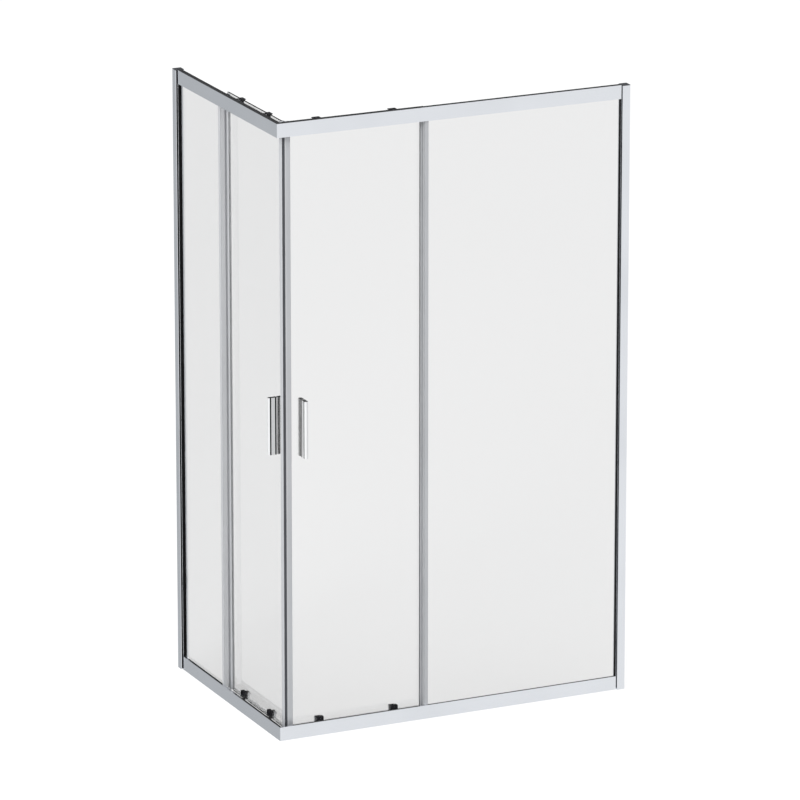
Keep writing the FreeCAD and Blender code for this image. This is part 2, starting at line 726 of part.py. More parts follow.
def trail_profile(side):
    """The profile on the door's trailing edge; its fin stops under the head rail's track."""
    end = sides[side]["door_end"]
    body = new_body(f"{side}_trail_profile", side, z="door_bottom")
    near = f"{end} - trail_width"
    bed = f"{end} - trail_web_thick"
    outline = [(f"{near} + profile_round", "profile_set"), (end, "profile_set"), (end, profile_back),
               (near, profile_back), (near, profile_slot_inner), (bed, profile_slot_inner),
               (bed, profile_slot_outer), (near, profile_slot_outer),
               (near, "profile_set + profile_round", "profile_round", "left")]
    pad(body, side, "plan", [outline], f"{door_top} - trail_head_drop - door_bottom")
    fin = box(f"{end} - trail_fin_thick", "trail_fin_tip", end, "profile_set + edge_skin")
    pad(body, side, "plan", [fin], f"{rail_low} - trail_fin_level", "trail_fin_level - door_bottom")
    return keep(body)


def drip_seal(side):
    """The clear seal on the bottom edge of the door pane."""
    start = "(lead_end + fit_gap)"
    end = f"{sides[side]['door_end']} - trail_width - fit_gap"
    body = new_body(f"{side}_drip_seal", side, s=start, z="door_bottom - drip_seal_sole")
    outer = f"{profile_slot_outer} - drip_seal_skin"
    inner = f"{profile_slot_inner} + drip_seal_skin"
    sole = "drip_seal_sole - seat_gap"
    outline = [(outer, "0"), (inner, "0"), (inner, "drip_seal_height"),
               (profile_slot_inner, "drip_seal_height"), (profile_slot_inner, sole),
               (profile_slot_outer, sole), (profile_slot_outer, "drip_seal_height"),
               (outer, "drip_seal_height")]
    return pad(body, side, "section", [outline], f"{end} - {start}")


def inlay_box(step, start, gap):
    """An inlay's outline, or with no gap its groove, on one side face of a handle bar."""
    face = "handle_thick / 2"
    return box(f"{step}({face} - inlay_deep + {gap})", f"{start} + {gap}", f"{step}({face})",
               f"{start} + inlay_width - {gap}")


def outer_handle(side):
    """Outer handle bar: a flat-sided bar with a round nose and two inlay grooves down each side."""
    body = new_body(f"{side}_outer_handle", side, s="handle_at", z="handle_level - handle_height / 2")
    half = "handle_thick / 2"
    base = handle_outer_base
    nose = "handle_tip + handle_nose"
    bend = handle_nose_radius
    outline = [(f"-{half}", base), (f"-{half}", nose, bend, "left"), ("0", "handle_tip", bend, "left"),
               (half, nose), (half, base)]
    pad(body, side, "plan", [outline], "handle_height")
    grooves = [inlay_box(step, start, "0") for step in ("-", "")
               for start in ("inlay_tip_set", "inlay_base_set")]
    cut(body, side, "plan", grooves)
    holes = [("0", f"handle_height / 2 {step} handle_screw_spread / 2",
              "handle_screw_radius + running_gap") for step in "-+"]
    cut(body, side, "front", holes, "handle_screw_bite + cut_overrun * 2",
        f"{base} - handle_screw_bite - cut_overrun")
    return keep(body)


def inner_handle(side):
    """Inner handle bar: one inlay groove down each side, and counterbored holes for the handle screws."""
    body = new_body(f"{side}_inner_handle", side, s="handle_at", z="handle_level - handle_height / 2")
    half = "handle_thick / 2"
    base = handle_inner_base
    nose = "handle_inner_reach - handle_nose"
    bend = handle_nose_radius
    outline = [(f"-{half}", base), (half, base), (half, nose, bend, "left"),
               ("0", "handle_inner_reach", bend, "left"), (f"-{half}", nose)]
    pad(body, side, "plan", [outline], "handle_height")
    cut(body, side, "plan", [inlay_box(step, "inlay_inner_set", "0") for step in ("-", "")])
    places = [f"handle_height / 2 {step} handle_screw_spread / 2" for step in "-+"]
    cut(body, side, "front", [("0", place, "handle_screw_radius + seat_gap") for place in places])
    seat = f"{base} + handle_head_seat"
    cut(body, side, "front", [("0", place, "handle_head_radius + seat_gap") for place in places],
        "handle_inner_reach", seat)
    return keep(body)


def handle_inlay(label, side, step, start):
    """A black strip in a groove of a handle bar, flush with its side face."""
    body = new_body(label, side, s="handle_at", z="handle_level - handle_height / 2")
    return pad(body, side, "plan", [inlay_box(step, start, "running_gap")], "handle_height")


def handle_screw(label, side, level):
    body = new_body(label, side, s="handle_at", d=f"{handle_inner_base} + handle_head_seat", z=level)
    tip = f"{handle_outer_base} - handle_screw_bite - {handle_inner_base} - handle_head_seat"
    points = [(tip, "0"), (tip, "handle_screw_radius"), ("0", "handle_screw_radius"),
              ("0", "handle_head_radius"), ("handle_head_thick", "handle_head_radius"),
              ("handle_head_thick", "0")]
    return socket(turn(body, side, points), side, "handle_head_thick")


def carriage(label, side, roller):
    """A saddle over the pane's top edge that carries one top wheel: two legs, a wide cap, and an arm."""
    body = new_body(label, side, s=f"{roller} - carriage_width / 2")
    crown = f"{door_top} + fit_gap"
    outline = [(carriage_outer, carriage_bottom), (carriage_outer, carriage_top),
               (carriage_back, carriage_top), (carriage_back, carriage_bottom),
               (carriage_inner, carriage_bottom), (carriage_inner, crown),
               (carriage_leg_back, crown), (carriage_leg_back, carriage_bottom)]
    pad(body, side, "section", [outline], "carriage_leg_width", "(carriage_width - carriage_leg_width) / 2")
    cap_low = f"{carriage_top} - carriage_cap_thick"
    cap = box("0", cap_low, "carriage_width", carriage_top)
    pad(body, side, "front", [cap], f"{carriage_back} - {carriage_outer}", carriage_outer)
    top = f"{carriage_top} + cut_overrun"
    low = f"{carriage_top} - carriage_bevel"
    reach = "carriage_bevel + cut_overrun"
    bevels = [[("-cut_overrun", f"{low} - cut_overrun"), (reach, top), ("-cut_overrun", top)],
              [("carriage_width + cut_overrun", f"{low} - cut_overrun"),
               ("carriage_width + cut_overrun", top), (f"carriage_width - ({reach})", top)]]
    cut(body, side, "front", bevels)
    middle = "carriage_width / 2"
    arm = box(f"{middle} - carriage_arm_width / 2", cap_low, f"{middle} + carriage_arm_width / 2",
              carriage_top)
    arm_start = "rail_depth + carriage_arm_gap"
    pad(body, side, "front", [arm], f"{carriage_leg_back} - ({arm_start})", arm_start)
    cut(body, side, "front", [(middle, clamp_bolt_level, "clamp_bolt_radius + running_gap")])
    leg = f"{carriage_leg_back} - {carriage_outer}"
    cut(body, side, "front", [(middle, wheel_level, "axle_radius + running_gap")],
        f"{leg} + cut_overrun * 2", f"{carriage_outer} - cut_overrun")
    return body


def top_axle(label, side, roller):
    """A headed stub axle, shouldered against the carriage."""
    body = new_body(label, side, s=roller, z=wheel_level)
    head = f"{bead_at} - wheel_width / 2 - axle_side_play"
    collar = f"{bead_at} + wheel_width / 2 + axle_side_play"
    tip = f"{carriage_leg_back} - seat_gap"
    points = [(f"{head} - axle_head_thick", "0"), (f"{head} - axle_head_thick", "axle_head_radius"),
              (head, "axle_head_radius"), (head, "axle_radius"), (collar, "axle_radius"),
              (collar, "axle_collar_radius"), (carriage_outer, "axle_collar_radius"),
              (carriage_outer, "axle_radius"), (tip, "axle_radius"), (tip, "0")]
    return turn(body, side, points)


def clamp_bolt(label, side, roller):
    """A cap bolt that clamps a carriage to the pane."""
    body = new_body(label, side, s=roller, z=clamp_bolt_level)
    tip = f"{carriage_outer} + clamp_bolt_stop"
    crown = f"{carriage_back} + clamp_head_thick"
    points = [(tip, "0"), (tip, "clamp_bolt_radius"), (carriage_back, "clamp_bolt_radius"),
              (carriage_back, "clamp_head_radius"), (crown, "clamp_head_radius"), (crown, "0")]
    return socket(turn(body, side, points), side, crown)


def top_wheel(label, side, roller):
    """A wheel whose groove runs on the bead of the track."""
    body = new_body(label, side, s=roller, d=bead_at, z=wheel_level)
    edge = "wheel_width / 2"
    groove_low = "bead_top / 2 + wheel_groove_slack"
    slope = "(bead_base - bead_top) / 2 / bead_height"
    groove_high = f"{groove_low} + {slope} * (wheel_flange_radius - wheel_tread_radius)"
    bore = "axle_radius + running_gap"
    outline = [(f"-({edge})", bore), (f"-({edge})", "wheel_flange_radius"),
               (f"-({groove_high})", "wheel_flange_radius"), (f"-({groove_low})", "wheel_tread_radius"),
               (groove_low, "wheel_tread_radius"), (groove_high, "wheel_flange_radius"),
               (edge, "wheel_flange_radius"), (edge, bore)]
    return keep(turn(body, side, outline))


def rounded_top(width, low, high):
    """An upright outline about its middle line, with its two top corners rounded."""
    half = f"{width} / 2"
    flat = f"{width} / 2 - housing_round"
    shoulder = f"{high} - housing_round"
    return [(f"-({half})", low), (half, low), (half, shoulder, "housing_round", "left"), (flat, high),
            (f"-({flat})", high, "housing_round", "left"), (f"-({half})", shoulder)]


def housing(label, side, roller):
    """The block outside the pane, with two skirts, that holds a bottom roller's sprung plunger."""
    body = new_body(label, side, s=roller, d="housing_outer")
    outline = box("-housing_width / 2", "housing_bottom", "housing_width / 2", "housing_top")
    depth = "door_glass_set - seat_gap * 2 - housing_outer"
    pad(body, side, "front", [outline], depth)
    near, far = "housing_skirt_gap / 2", "housing_width / 2"
    skirts = [box(f"-{far}", "housing_skirt_level", f"-{near}", "housing_bottom"),
              box(near, "housing_skirt_level", far, "housing_bottom")]
    pad(body, side, "front", skirts, "housing_skirt_deep")
    centre = "plunger_set - housing_outer"
    bore_top = "housing_top - housing_roof"
    cut(body, side, "plan", [("0", centre, "plunger_bore")],
        f"{bore_top} - housing_bottom + cut_overrun", "housing_bottom - cut_overrun")
    cut(body, side, "plan", [("0", centre, "plunger_stem_radius + running_gap")])
    bolts = [(f"{step}housing_bolt_spread / 2", "housing_bolt_level", "housing_bolt_radius + running_gap")
             for step in ("-", "")]
    cut(body, side, "front", bolts, "housing_bolt_bite + cut_overrun", f"{depth} - housing_bolt_bite")
    return body


def clamp_layer(label, side, roller, start, thick, low):
    """A layer inside the pane that a housing's two bolts pull against: the soft pad or the plate on it."""
    body = new_body(label, side, s=roller, d=start)
    outline = rounded_top("clamp_plate_width", low, "housing_top")
    holes = [(f"{step}housing_bolt_spread / 2", "housing_bolt_level", "housing_bolt_radius + running_gap")
             for step in ("-", "")]
    return pad(body, side, "front", [outline, *holes], thick)


def housing_bolt(label, side, place):
    body = new_body(label, side, s=place, z="housing_bolt_level")
    seat = f"{clamp_plate_set} + clamp_plate_thick"
    tip = "door_glass_set - seat_gap * 2 - housing_bolt_bite + seat_gap"
    crown = f"{seat} + housing_head_thick"
    points = [(tip, "0"), (tip, "housing_bolt_radius"), (seat, "housing_bolt_radius"),
              (seat, "housing_head_radius"), (crown, "housing_head_radius"), (crown, "0")]
    return socket(turn(body, side, points), side, crown)


def plunger(label, side, roller):
    """The release plunger: cap, stem and shoulder, with the guide wheel's carrier and axle below."""
    body = new_body(label, side, s=roller, d="plunger_set")
    cap_low = "housing_top + fit_gap"
    stem = [("0", "carrier_bottom"), ("plunger_shoulder_radius", "carrier_bottom"),
            ("plunger_shoulder_radius", "plunger_shoulder_top"),
            ("plunger_stem_radius", "plunger_shoulder_top"), ("plunger_stem_radius", f"{cap_low} + fit_gap"),
            ("0", f"{cap_low} + fit_gap")]
    turn(body, side, stem, upright=True)
    cap = rounded_top("housing_width", cap_low, f"{cap_low} + plunger_cap_thick")
    pad(body, side, "front", [cap], "door_glass_set - seat_gap * 2 - housing_outer",
        "housing_outer - plunger_set")
    carrier = box("-carrier_width / 2", "carrier_outer - plunger_set", "carrier_width / 2",
                  "carrier_inner - plunger_set")
    pad(body, side, "plan", [carrier], "carrier_top - carrier_bottom", "carrier_bottom")
    head = "guide_wheel_set - guide_side_play - guide_head_thick - plunger_set"
    pad(body, side, "front", [("0", guide_level, "guide_axle_radius")], f"-({head})", head)
    pad(body, side, "front", [("0", guide_level, "guide_head_radius")], "guide_head_thick", head)
    return keep(body)


def guide_wheel(label, side, roller):
    body = new_body(label, side, s=roller, d="guide_wheel_set", z=guide_level)
    bore = "guide_axle_radius + running_gap"
    rim = "guide_wheel_radius - guide_wheel_bevel"
    outline = [("0", bore), ("0", rim), ("guide_wheel_bevel", "guide_wheel_radius"),
               ("guide_wheel_width - guide_wheel_bevel", "guide_wheel_radius"),
               ("guide_wheel_width", rim), ("guide_wheel_width", bore)]
    return keep(turn(body, side, outline))


def spring(label, side, roller):
    """The coil spring round the plunger's stem, between its shoulder and the housing's roof."""
    low = "plunger_shoulder_top + spring_wire + seat_gap"
    high = "housing_top - housing_roof - spring_wire - seat_gap"
    coil = doc.addObject("Part::Helix", f"{label}_coil")
    bind(coil, "Pitch", "spring_pitch")
    bind(coil, "Height", f"{high} - ({low})")
    bind(coil, "Radius", "spring_radius")
    wire = doc.addObject("Part::Circle", f"{label}_wire")
    bind(wire, "Radius", "spring_wire")
    wire.Placement.Rotation = FreeCAD.Rotation(FreeCAD.Vector(1, 0, 0), 90)
    bind(wire, ".Placement.Base.x", "spring_radius")
    sweep = doc.addObject("Part::Sweep", label)
    sweep.Label = label
    sweep.Sections = [wire]
    sweep.Spine = (coil, ["Edge1"])
    sweep.Solid = True
    sweep.Frenet = True
    x, y = (roller, "plunger_set") if side == "long" else ("plunger_set", roller)
    bind(sweep, ".Placement.Base.x", f"{x} + wall_proud - long_side / 2")
    bind(sweep, ".Placement.Base.y", f"{y} + wall_proud - short_side / 2")
    bind(sweep, ".Placement.Base.z", low)
    return keep(sweep)


# The whole enclosure

for side in sides:
    wall_profile(side)
    stile(side)
    top_rail(side)
    bottom_rail(side)
    fixed_glass(side)
    fixed_edge(side)

keep_group("wall_profile_caps", [wall_cap(side) for side in sides])
gaskets = [fixed_gasket(side) for side in sides] + [wall_seal(side) for side in sides]
keep_group("glazing_gaskets", gaskets)
strips = [head_strip(side) for side in sides] + [sill_strip(side) for side in sides]
keep_group("glazing_strips", strips)
keep_group("door_stops", [door_stop(side) for side in sides])

chamber_low = f"{rail_low} + channel_height + rail_wall"
head_link = connector("top_corner_connector", "rail_wall", "rail_depth - rail_wall", chamber_low,
                      "overall_height - rail_wall", "rail_depth / 2", f"{chamber_low} - cut_overrun")
sill_line = "rail_depth + sill_track_width / 2"
sill_link = connector("bottom_corner_connector", "rail_depth", "rail_depth + sill_track_width",
                      "rail_wall", "sill_track_level - rail_wall", sill_line,
                      "sill_track_level - connector_screw_bite - seat_gap")
keep_group("corner_connectors", [head_link, sill_link])

screws = []
for side in sides:
    screws.append(frame_screw_up(f"{side}_head_screw", side, "rail_depth / 2"))
    screws.append(frame_screw_down(f"{side}_sill_screw", side, sill_line))
    for place, level in enumerate(stile_screw_levels, 1):
        screws.append(stile_screw(f"{side}_stile_screw_{place}", side, level))
keep_group("frame_screws", screws)

for side in sides:
    door_glass(side)
    lead_profile(side)
    magnet_seal(side)
    trail_profile(side)
    outer_handle(side)
    inner_handle(side)
    starts = ("inlay_tip_set", "inlay_base_set", "inlay_inner_set")
    inlays = [handle_inlay(f"{side}_{start}_{face}", side, step, start)
              for start in starts for face, step in (("near", "-"), ("far", ""))]
    keep_group(f"{side}_handle_inlays", inlays)
    keep_group(f"{side}_handle_screws", [handle_screw(f"{side}_handle_screw_{place}", side, level)
                                         for place, level in enumerate(handle_levels, 1)])
    spots = list(enumerate(sides[side]["rollers"], 1))
    seals = [drip_seal(side)]
    seals += [clamp_layer(f"{side}_pad_{n}", side, at, clamp_pad_set, "clamp_pad_thick",
                          "door_bottom + drip_seal_height") for n, at in spots]
    keep_group(f"{side}_door_seals", seals)
    keep_group(f"{side}_top_carriages", [carriage(f"{side}_carriage_{n}", side, at) for n, at in spots])
    keep_group(f"{side}_top_axles", [top_axle(f"{side}_axle_{n}", side, at) for n, at in spots])
    bolts = [clamp_bolt(f"{side}_clamp_bolt_{n}", side, at) for n, at in spots]
    bolts += [housing_bolt(f"{side}_housing_bolt_{n}", side, at)
              for n, at in enumerate(housing_bolts(side), 1)]
    keep_group(f"{side}_roller_bolts", bolts)
    blocks = [housing(f"{side}_housing_{n}", side, at) for n, at in spots]
    blocks += [clamp_layer(f"{side}_plate_{n}", side, at, clamp_plate_set, "clamp_plate_thick",
                           "door_bottom") for n, at in spots]
    keep_group(f"{side}_roller_housings", blocks)
    for place, at in spots:
        top_wheel(f"{side}_top_wheel_{place}", side, at)
        plunger(f"{side}_release_plunger_{place}", side, at)
        guide_wheel(f"{side}_guide_wheel_{place}", side, at)
        spring(f"{side}_release_spring_{place}", side, at)

doc.recompute()

for item in doc.Objects:
    if "Invalid" in item.State or "Error" in item.State:
        raise RuntimeError(f"{item.Label} is {item.State}")
    if item.TypeId == "PartDesign::Pocket" and item.Shape.Volume >= item.BaseFeature.Shape.Volume:
        raise RuntimeError(f"{item.Label} cuts nothing")
for node in nodes:
    if node.Shape.isNull() or not node.Shape.isValid() or not node.Shape.Solids:
        raise RuntimeError(f"{node.Label} has no valid solid")

os.makedirs("parts", exist_ok=True)
for node in nodes:
    node.Shape.exportStep(f"parts/{node.Label}.step")
    print(node.Label, len(node.Shape.Solids), round(node.Shape.Volume))
print(len(nodes), "nodes")
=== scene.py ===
import bpy
import json
import math
import numpy as np
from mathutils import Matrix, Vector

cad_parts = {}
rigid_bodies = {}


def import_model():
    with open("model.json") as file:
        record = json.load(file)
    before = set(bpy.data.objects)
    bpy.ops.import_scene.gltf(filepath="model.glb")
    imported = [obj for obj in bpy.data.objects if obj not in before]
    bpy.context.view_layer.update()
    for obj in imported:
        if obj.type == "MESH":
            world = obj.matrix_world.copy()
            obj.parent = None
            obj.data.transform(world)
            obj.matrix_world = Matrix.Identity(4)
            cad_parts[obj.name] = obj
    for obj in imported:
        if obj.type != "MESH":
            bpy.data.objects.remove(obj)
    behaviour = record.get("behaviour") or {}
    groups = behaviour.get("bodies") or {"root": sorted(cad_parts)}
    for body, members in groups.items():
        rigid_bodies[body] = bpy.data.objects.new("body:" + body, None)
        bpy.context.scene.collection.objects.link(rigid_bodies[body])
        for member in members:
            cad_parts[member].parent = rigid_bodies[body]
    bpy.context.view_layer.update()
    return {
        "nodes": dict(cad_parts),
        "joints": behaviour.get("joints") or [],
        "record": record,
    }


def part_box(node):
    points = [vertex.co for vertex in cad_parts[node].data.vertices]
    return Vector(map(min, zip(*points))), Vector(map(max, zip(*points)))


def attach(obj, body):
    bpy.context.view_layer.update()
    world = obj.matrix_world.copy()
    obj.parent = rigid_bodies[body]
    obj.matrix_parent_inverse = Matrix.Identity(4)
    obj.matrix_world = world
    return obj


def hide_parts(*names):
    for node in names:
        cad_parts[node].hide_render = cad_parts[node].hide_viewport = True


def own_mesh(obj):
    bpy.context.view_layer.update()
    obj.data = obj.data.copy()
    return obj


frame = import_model()
nodes = frame["nodes"]
print("frame loaded:", len(nodes), "nodes")


# camera: a long lens, looking down on the entry corner
camera = {"lens": 300.4, "sensor": 36.0, "far": 200.0, "pitch": 73.49, "turn": -25.02,
          "place": (-8.4315, -18.0635, 6.822)}


def placeCamera(spec):
    data = bpy.data.cameras.new("photoCamera")
    data.lens = spec["lens"]
    data.sensor_width = spec["sensor"]
    data.clip_end = spec["far"]
    eye = bpy.data.objects.new("photoCamera", data)
    eye.location = spec["place"]
    eye.rotation_euler = (math.radians(spec["pitch"]), 0.0, math.radians(spec["turn"]))
    bpy.context.scene.collection.objects.link(eye)
    bpy.context.scene.camera = eye


placeCamera(camera)
print("camera placed")


# small helpers for node trees
def addNode(tree, kind, **values):
    made = tree.nodes.new(kind)
    for name, value in values.items():
        setattr(made, name, value)
    return made


def setInputs(made, **values):
    for name, value in values.items():
        made.inputs[name].default_value = value


def feed(tree, socket, source):
    if isinstance(source, bpy.types.NodeSocket):
        tree.links.new(source, socket)
    else:
        socket.default_value = source


# the colour sockets of a Mix node, which share their names with its value sockets
mixSockets = {"factor": 0, "first": 6, "second": 7, "result": 2}


def mixColours(tree, factor, first, second):
    mixed = addNode(tree, "ShaderNodeMix", data_type="RGBA")
    feed(tree, mixed.inputs[mixSockets["factor"]], factor)
    feed(tree, mixed.inputs[mixSockets["first"]], first)
    feed(tree, mixed.inputs[mixSockets["second"]], second)
    return mixed.outputs[mixSockets["result"]]


def mapRange(tree, source, span, target=(0.0, 1.0)):
    ranged = addNode(tree, "ShaderNodeMapRange")
    tree.links.new(source, ranged.inputs["Value"])
    for name, value in zip(("From Min", "From Max", "To Min", "To Max"), (*span, *target)):
        ranged.inputs[name].default_value = value
    return ranged.outputs["Result"]


def calculate(tree, operation, first, second=0.0):
    made = addNode(tree, "ShaderNodeMath", operation=operation)
    for socket, source in zip(made.inputs, (first, second)):
        feed(tree, socket, source)
    return made.outputs[0]


def splitVector(tree, space):
    coords = addNode(tree, "ShaderNodeTexCoord")
    parts = addNode(tree, "ShaderNodeSeparateXYZ")
    tree.links.new(coords.outputs[space], parts.inputs[0])
    return parts.outputs


def newMaterial(name):
    made = bpy.data.materials.new(name)
    made.use_nodes = True
    return made, made.node_tree, made.node_tree.nodes["Principled BSDF"]


# shared effects, as groups that put out masks and heights
def newGroup(name, inputs, outputs):
    group = bpy.data.node_groups.new(name, "ShaderNodeTree")
    for socketName, kind in inputs.items():
        group.interface.new_socket(socketName, in_out="INPUT", socket_type=kind)
    for socketName in outputs:
        group.interface.new_socket(socketName, in_out="OUTPUT", socket_type="NodeSocketFloat")
    return group, addNode(group, "NodeGroupInput"), addNode(group, "NodeGroupOutput")


# drawn lines: noise squeezed across the drawing direction, plus soft wide patches of handling
drawnNoise = {"lines": {"Scale": 1.0, "Detail": 3.0, "Roughness": 0.6},
              "patches": {"Detail": 2.0, "Roughness": 0.5}}


def makeDrawnLines(spec):
    group, entry, leave = newGroup("drawnLines", {"Vector": "NodeSocketVector", "Stretch": "NodeSocketVector",
                                                  "Patch Size": "NodeSocketFloat"}, ("Lines", "Patches"))
    squeezed = addNode(group, "ShaderNodeVectorMath", operation="MULTIPLY")
    group.links.new(entry.outputs["Vector"], squeezed.inputs[0])
    group.links.new(entry.outputs["Stretch"], squeezed.inputs[1])
    lines = addNode(group, "ShaderNodeTexNoise")
    setInputs(lines, **spec["lines"])
    group.links.new(squeezed.outputs[0], lines.inputs["Vector"])
    patches = addNode(group, "ShaderNodeTexNoise")
    setInputs(patches, **spec["patches"])
    group.links.new(entry.outputs["Vector"], patches.inputs["Vector"])
    group.links.new(entry.outputs["Patch Size"], patches.inputs["Scale"])
    group.links.new(lines.outputs["Fac"], leave.inputs["Lines"])
    group.links.new(patches.outputs["Fac"], leave.inputs["Patches"])
    return group


# moulded grain: fine cells for the tool's texture, and a slow cloud for uneven gloss
mouldedNoise = {"cloud": {"Scale": 14.0, "Detail": 3.0, "Roughness": 0.55}}


def makeMouldedGrain(spec):
    group, entry, leave = newGroup("mouldedGrain", {"Vector": "NodeSocketVector", "Grain Size": "NodeSocketFloat"},
                                   ("Grain", "Cloud"))
    grain = addNode(group, "ShaderNodeTexVoronoi")
    group.links.new(entry.outputs["Vector"], grain.inputs["Vector"])
    group.links.new(entry.outputs["Grain Size"], grain.inputs["Scale"])
    cloud = addNode(group, "ShaderNodeTexNoise")
    setInputs(cloud, **spec["cloud"])
    group.links.new(entry.outputs["Vector"], cloud.inputs["Vector"])
    group.links.new(grain.outputs["Distance"], leave.inputs["Grain"])
    group.links.new(cloud.outputs["Fac"], leave.inputs["Cloud"])
    return group


drawnLines = makeDrawnLines(drawnNoise)
mouldedGrain = makeMouldedGrain(mouldedNoise)


def useGroup(tree, group, **values):
    made = addNode(tree, "ShaderNodeGroup", node_tree=group)
    coords = addNode(tree, "ShaderNodeTexCoord")
    tree.links.new(coords.outputs["Object"], made.inputs["Vector"])
    for name, value in values.items():
        made.inputs[name.replace("_", " ")].default_value = value
    return made


# the spans of noise that show, and how deep its bumps are
marking = {"soft": (0.3, 0.7), "lines": (0.25, 0.75), "depth": 0.0002}


# a surface takes its tone, its gloss and its bumps from the marks
def markSurface(tree, surface, spec, tone, gloss, height):
    tint = mapRange(tree, tone, marking["soft"])
    tree.links.new(mixColours(tree, tint, spec["dark"], spec["light"]), surface.inputs["Base Color"])
    tree.links.new(gloss, surface.inputs["Roughness"])
    bump = addNode(tree, "ShaderNodeBump")
    setInputs(bump, Strength=spec["bump"], Distance=marking["depth"])
    tree.links.new(height, bump.inputs["Height"])
    tree.links.new(bump.outputs["Normal"], surface.inputs["Normal"])


# drawn and polished metal; along is the direction that the bar was drawn in
def drawnMetal(name, spec, along):
    made, tree, surface = newMaterial(name)
    stretch = [spec["fine"]] * 3
    stretch["xyz".index(along)] = spec["coarse"]
    marks = useGroup(tree, drawnLines, Stretch=stretch, Patch_Size=spec["patch"])
    lines = marks.outputs["Lines"]
    gloss = mapRange(tree, lines, marking["lines"], spec["rough"])
    markSurface(tree, surface, spec, marks.outputs["Patches"], gloss, lines)
    setInputs(surface, Metallic=spec["metal"])
    return made


polished = {"dark": (0.765, 0.79, 0.83, 1), "light": (0.825, 0.85, 0.89, 1), "rough": (0.10, 0.17), "bump": 0.03,
            "fine": 900.0, "coarse": 6.0, "patch": 3.0, "metal": 1.0}
polishedMetal = {along: drawnMetal(f"polishedProfile_{along}", polished, along) for along in "xyz"}
satin = {"rough": (0.28, 0.34), "bump": 0.01, "fine": 1100.0, "coarse": 5.0, "patch": 3.0, "metal": 0.25}
# painted light: the short side's satin profiles get a paler base than the long side's, lit and shaded copies of one
# finish
satinLitShadedTones = {"long": {"dark": (0.53, 0.54, 0.56, 1), "light": (0.57, 0.58, 0.60, 1)},
              "short": {"dark": (0.69, 0.70, 0.72, 1), "light": (0.73, 0.74, 0.76, 1)}}
satinLitShadedCopies = {side: drawnMetal(f"satinProfileLitShaded_{side}", {**satin, **tone}, "z")
              for side, tone in satinLitShadedTones.items()}
# painted sheen: a near-white, mostly diffuse base stands in for the chrome's bright reflection on the handle's
# sides
chromeSheen = {"dark": (0.94, 0.945, 0.95, 1), "light": (0.96, 0.965, 0.97, 1), "rough": (0.08, 0.13), "bump": 0.004,
          "fine": 700.0, "coarse": 10.0, "patch": 9.0, "metal": 0.15, "ends": 1.0, "endSlope": (0.5, 0.7)}


# a handle's bar: pale, mostly diffuse sides whose near-white base is a painted sheen in place of the chrome's
# bright reflection, and polished ends that mirror the dark wall
def handleSheenMetal(name, spec):
    made = drawnMetal(name, spec, "z")
    tree = made.node_tree
    level = calculate(tree, "ABSOLUTE", splitVector(tree, "Normal")["Z"])
    metal = mapRange(tree, level, spec["endSlope"], (spec["metal"], spec["ends"]))
    tree.links.new(metal, tree.nodes["Principled BSDF"].inputs["Metallic"])
    return made


chromeHandlePaintedSheen = handleSheenMetal("chromeHandlePaintedSheen", chromeSheen)
steel = {"dark": (0.48, 0.48, 0.49, 1), "light": (0.62, 0.62, 0.63, 1), "rough": (0.22, 0.36), "bump": 0.08,
         "fine": 1500.0, "coarse": 1500.0, "patch": 40.0, "metal": 1.0}
turnedSteel = drawnMetal("turnedSteel", steel, "z")
print("metals made")


# moulded plastic or rubber
def mouldedPlastic(name, spec):
    made, tree, surface = newMaterial(name)
    marks = useGroup(tree, mouldedGrain, Grain_Size=spec["grain"])
    cloud = marks.outputs["Cloud"]
    gloss = mapRange(tree, cloud, marking["soft"], spec["rough"])
    markSurface(tree, surface, spec, cloud, gloss, marks.outputs["Grain"])
    surface.inputs["Specular IOR Level"].default_value = spec["shine"]
    return made


plastics = {
    "black_plastic": {"dark": (0.008, 0.008, 0.010, 1), "light": (0.020, 0.020, 0.024, 1), "rough": (0.22, 0.34),
                      "bump": 0.06, "grain": 1600.0, "shine": 0.5},
    "wheel_plastic": {"dark": (0.70, 0.70, 0.68, 1), "light": (0.78, 0.78, 0.76, 1), "rough": (0.30, 0.42),
                      "bump": 0.04, "grain": 1400.0, "shine": 0.5},
    "cap_plastic": {"dark": (0.055, 0.058, 0.065, 1), "light": (0.080, 0.084, 0.092, 1), "rough": (0.30, 0.40),
                    "bump": 0.05, "grain": 1400.0, "shine": 0.5},
    "black_gasket": {"dark": (0.004, 0.004, 0.005, 1), "light": (0.010, 0.010, 0.011, 1), "rough": (0.55, 0.72),
                     "bump": 0.10, "grain": 1100.0, "shine": 0.12},
    "stop_rubber": {"dark": (0.012, 0.012, 0.013, 1), "light": (0.024, 0.024, 0.026, 1), "rough": (0.55, 0.75),
                    "bump": 0.12, "grain": 1100.0, "shine": 0.3},
    "dark_magnet_strip": {"dark": (0.055, 0.058, 0.066, 1), "light": (0.085, 0.089, 0.098, 1),
                          "rough": (0.32, 0.44), "bump": 0.05, "grain": 1300.0, "shine": 0.5},
    "connector_plastic": {"dark": (0.05, 0.05, 0.055, 1), "light": (0.08, 0.08, 0.085, 1), "rough": (0.45, 0.6),
                          "bump": 0.10, "grain": 1000.0, "shine": 0.4},
}
plate = {"colour": (0.84, 0.85, 0.86, 1), "fade": 0.001}


# a bottom roller's block: black outside the pane, and a bright metal plate inside it
def rollerBlock(name, spec, plateSpec, across, paneFace):
    made = mouldedPlastic(name, spec)
    tree = made.node_tree
    surface = tree.nodes["Principled BSDF"]
    inside = mapRange(tree, splitVector(tree, "Object")[across], (paneFace, paneFace + plateSpec["fade"]))
    black = surface.inputs["Base Color"].links[0].from_socket
    tree.links.new(mixColours(tree, inside, black, plateSpec["colour"]), surface.inputs["Base Color"])
    tree.links.new(inside, surface.inputs["Metallic"])
    return made


